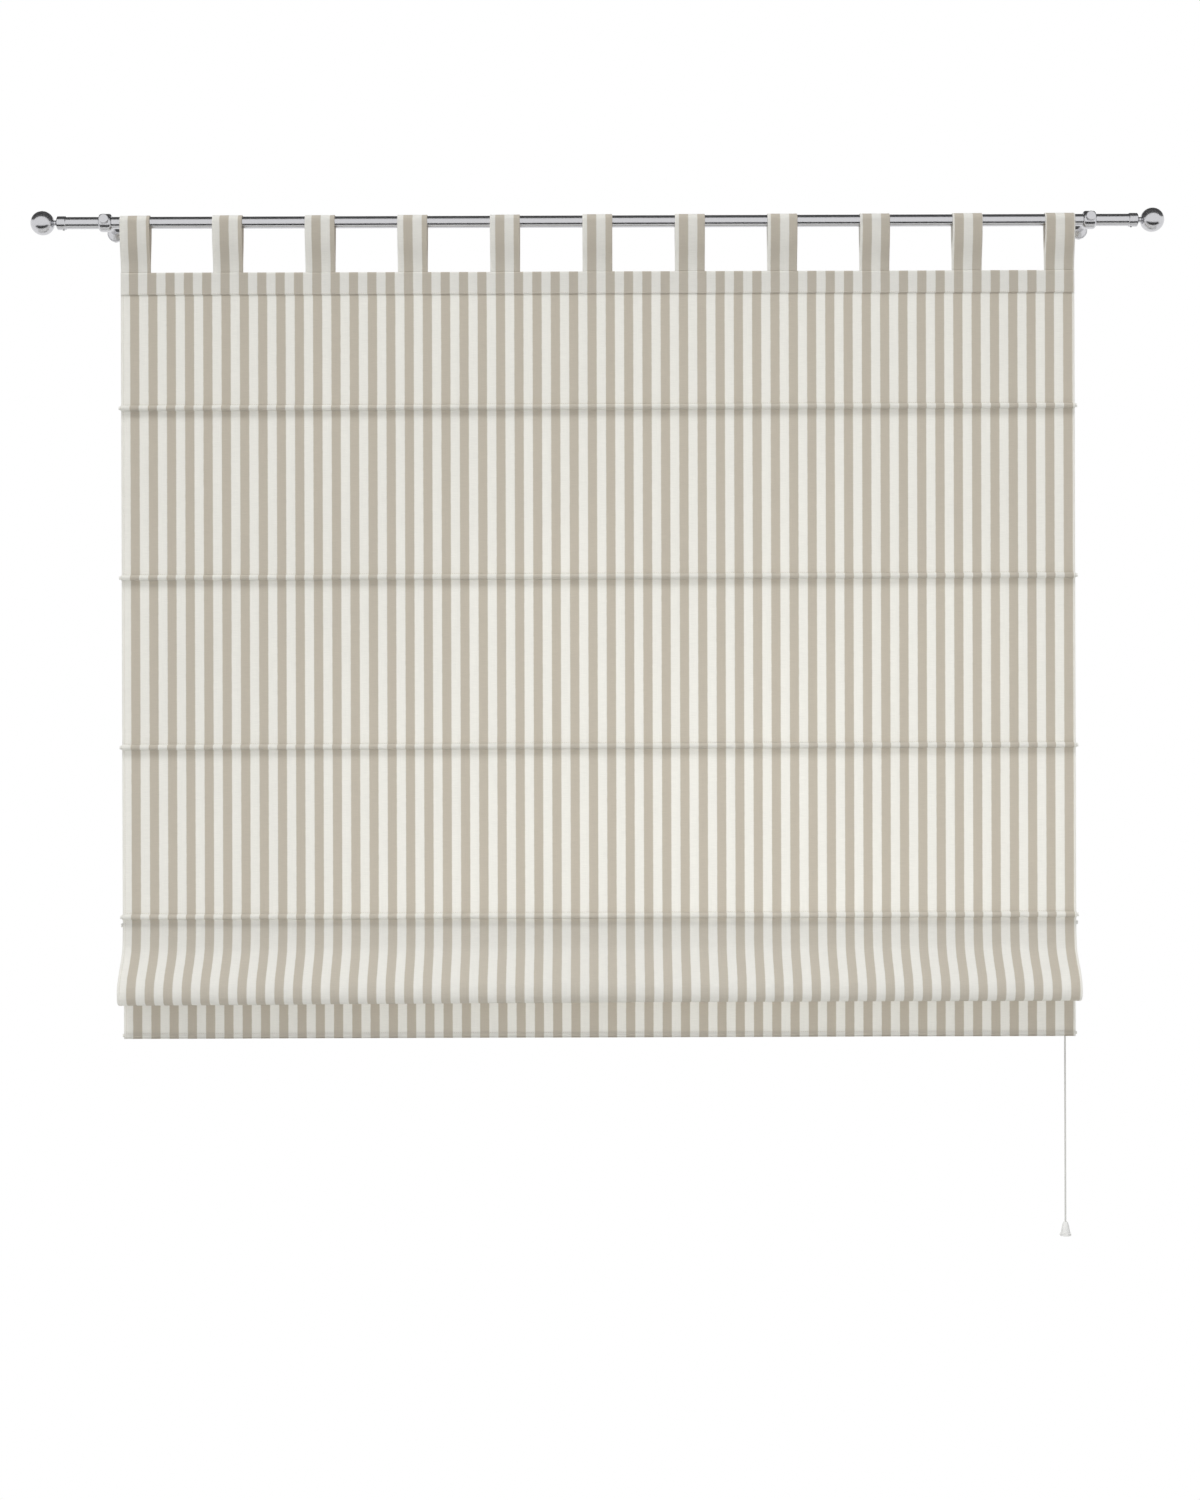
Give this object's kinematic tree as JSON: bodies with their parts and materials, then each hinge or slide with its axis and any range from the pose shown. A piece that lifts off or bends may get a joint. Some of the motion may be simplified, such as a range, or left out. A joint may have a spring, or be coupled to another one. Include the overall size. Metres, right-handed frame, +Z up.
{
  "type": "roman blind",
  "caption": "Tab-top roman blind in striped cloth on a curtain rod with ball finials, raised by cords through battens and a cord lock.",
  "frame": {"origin": "on the wall, halfway between the two brackets' wall screws, level with the rod's axis", "axes": "+X along the rod to the right as seen from the room, +Y into the wall, +Z up"},
  "size_m": [1.902, 0.1356, 1.729],
  "materials": {
    "satin_chrome": "satin",
    "steel_fittings": "satin",
    "brass_roller": "satin",
    "striped_cloth": "matte",
    "lath_wood": "matte",
    "glass_fibre": "satin",
    "white_plastic": "satin",
    "white_cord": "matte",
    "white_bell": "satin"
  },
  "bodies": {
    "hanging": {"curtain_rod": "satin_chrome", "finial_left": "satin_chrome", "finial_right": "satin_chrome", "finial_screws": "steel_fittings", "foot_screws": "steel_fittings", "wall_plate_left": "steel_fittings", "wall_plate_right": "steel_fittings", "bracket_left": "satin_chrome", "bracket_right": "satin_chrome", "clamp_knob_left": "satin_chrome", "clamp_knob_right": "satin_chrome", "tab_01": "striped_cloth", "tab_02": "striped_cloth", "tab_03": "striped_cloth", "tab_04": "striped_cloth", "tab_05": "striped_cloth", "tab_06": "striped_cloth", "tab_07": "striped_cloth", "tab_08": "striped_cloth", "tab_09": "striped_cloth", "tab_10": "striped_cloth", "tab_11": "striped_cloth", "heading_band": "striped_cloth", "head_lath": "lath_wood", "shade_cloth": "striped_cloth", "cord_guides": "steel_fittings", "lift_cord_1": "white_cord", "lift_cord_2": "white_cord", "lift_cord_3": "white_cord", "lift_cord_4": "white_cord", "lock_housing": "white_plastic", "lock_guide_bar": "steel_fittings", "lock_screws": "steel_fittings"},
    "batten_1": {"batten_1": "glass_fibre", "batten_caps_1": "white_plastic", "cord_rings_1": "white_plastic"},
    "batten_2": {"batten_2": "glass_fibre", "batten_caps_2": "white_plastic", "cord_rings_2": "white_plastic"},
    "batten_3": {"batten_3": "glass_fibre", "batten_caps_3": "white_plastic", "cord_rings_3": "white_plastic"},
    "batten_4": {"batten_4": "glass_fibre", "batten_caps_4": "white_plastic", "cord_rings_4": "white_plastic"},
    "hem": {"batten_5": "glass_fibre", "batten_caps_5": "white_plastic", "hem_bar": "glass_fibre", "tie_eyelets": "white_plastic", "tie_knots": "white_cord"},
    "lock_roller": {"jam_roller": "brass_roller", "roller_pin": "steel_fittings"},
    "pull": {"pull_cord": "white_cord"},
    "bell": {"cord_bell": "white_bell", "bell_knot": "white_cord"}
  },
  "joints": [
    {"name": "raise_batten_1", "type": "slide", "parent": "hanging", "child": "batten_1", "axis": [0, 0.0172, 0.9999], "range_m": [0, 0.17404]},
    {"name": "raise_batten_2", "type": "slide", "parent": "batten_1", "child": "batten_2", "axis": [0, 0.0112, 0.9999], "range_m": [0, 0.26853]},
    {"name": "raise_batten_3", "type": "slide", "parent": "batten_2", "child": "batten_3", "axis": [0, 0.0112, 0.9999], "range_m": [0, 0.26853]},
    {"name": "raise_batten_4", "type": "slide", "parent": "batten_3", "child": "batten_4", "axis": [0, 0.0163, 0.9999], "range_m": [0, 0.18452], "deforming": ["shade_cloth", "lift_cord_1", "lift_cord_2", "lift_cord_3", "lift_cord_4"]},
    {"name": "raise_hem", "type": "slide", "parent": "batten_4", "child": "hem", "axis": [0, 0.0166, 0.9999], "range_m": [-0.27054, 0]},
    {"name": "feed_pull_cord", "type": "slide", "parent": "hanging", "child": "pull", "axis": [0, 0, 1], "range_m": [-0.896, 0], "deforming": ["pull_cord"]},
    {"name": "feed_cord_bell", "type": "slide", "parent": "pull", "child": "bell", "axis": [0, 0, 1], "range_m": [0, 0.271]},
    {"name": "free_lock_roller", "type": "slide", "parent": "hanging", "child": "lock_roller", "axis": [-0.7986, 0, 0.6018], "range_m": [0, 0.005]}
  ],
  "couplings": [
    {"joint": "raise_batten_1", "follows": "raise_batten_4", "ratio": 0.94311},
    {"joint": "raise_batten_2", "follows": "raise_batten_4", "ratio": 1.4552},
    {"joint": "raise_batten_3", "follows": "raise_batten_4", "ratio": 1.4552},
    {"joint": "feed_pull_cord", "follows": "raise_batten_4", "ratio": -4.853},
    {"joint": "feed_cord_bell", "follows": "raise_hem", "ratio": -1}
  ]
}
